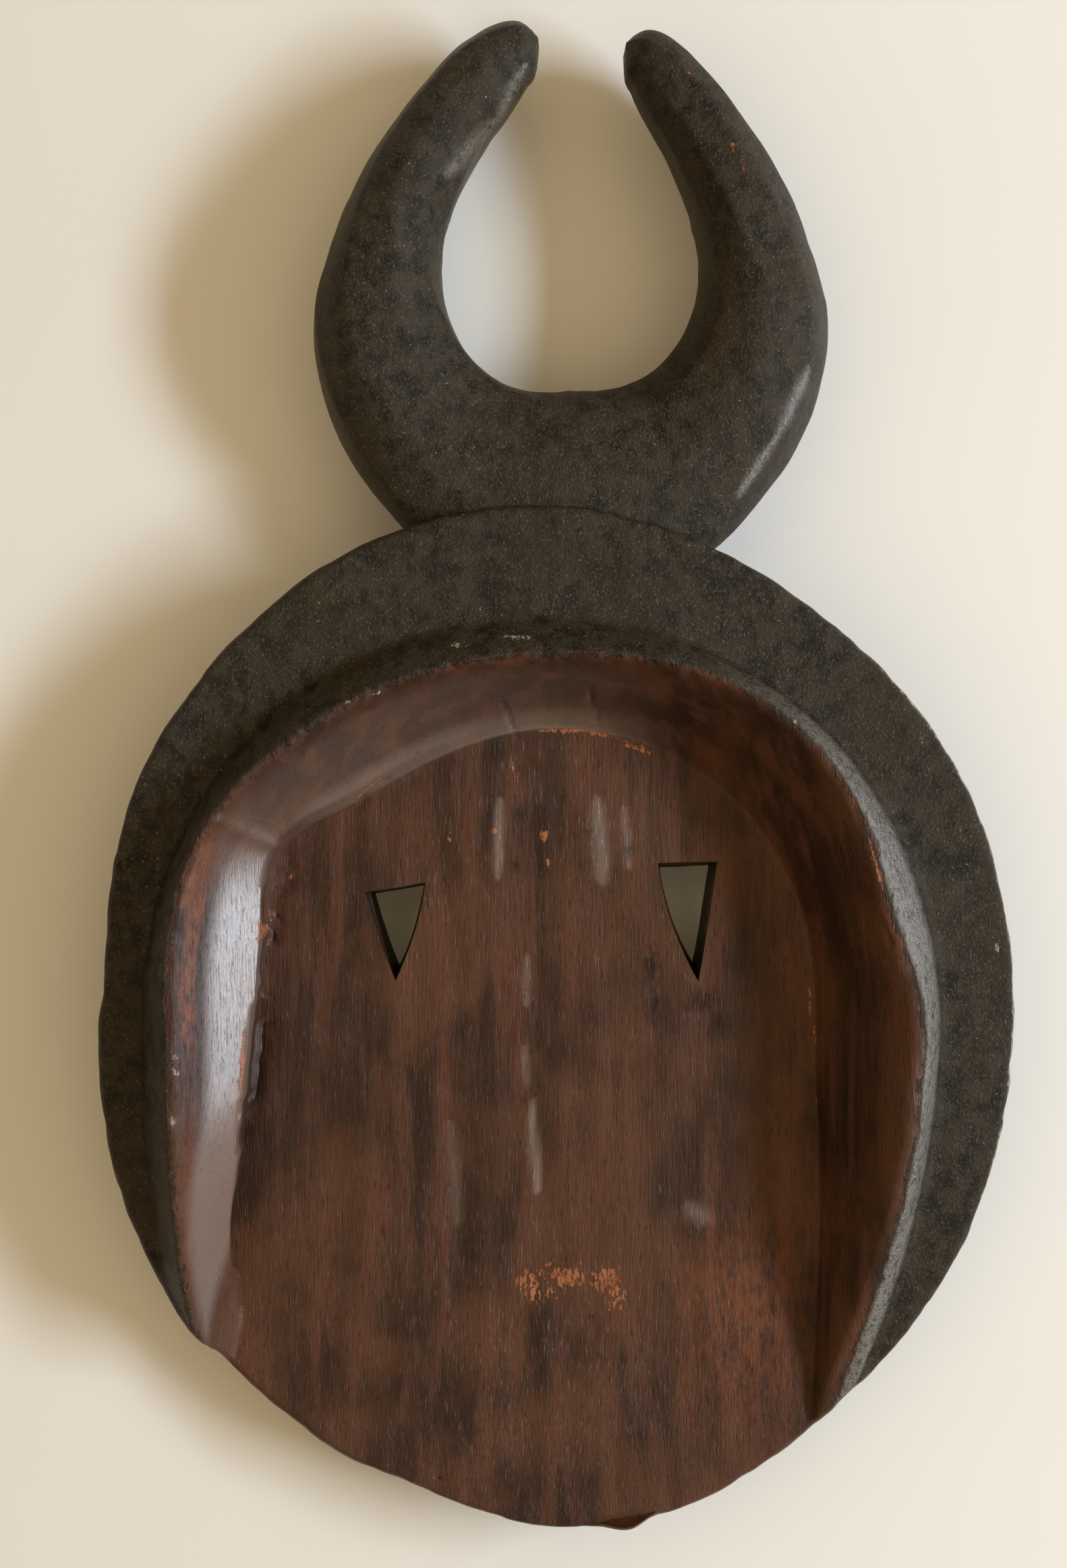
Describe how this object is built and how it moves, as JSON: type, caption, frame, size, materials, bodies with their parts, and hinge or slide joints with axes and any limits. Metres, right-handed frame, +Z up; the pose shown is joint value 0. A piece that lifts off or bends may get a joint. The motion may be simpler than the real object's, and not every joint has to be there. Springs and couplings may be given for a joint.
{
  "type": "carved wooden face mask with horns",
  "caption": "Oval wooden face mask with a hollow back, triangular eye holes and thick curved horns, lying on its face.",
  "frame": {"origin": "middle of the box in plan, on the surface that the mask lies on", "axes": "+Z up out of the hollow back, +Y along the mask towards the horns, +X across it to the wearer's right"},
  "size_m": [0.2544, 0.425, 0.0507],
  "materials": {
    "stained_hardwood": "black-brown stained hardwood, matt on the rim and horns, satin and worn in the hollow"
  },
  "bodies": {
    "root": {"mask": "stained_hardwood"}
  },
  "joints": []
}
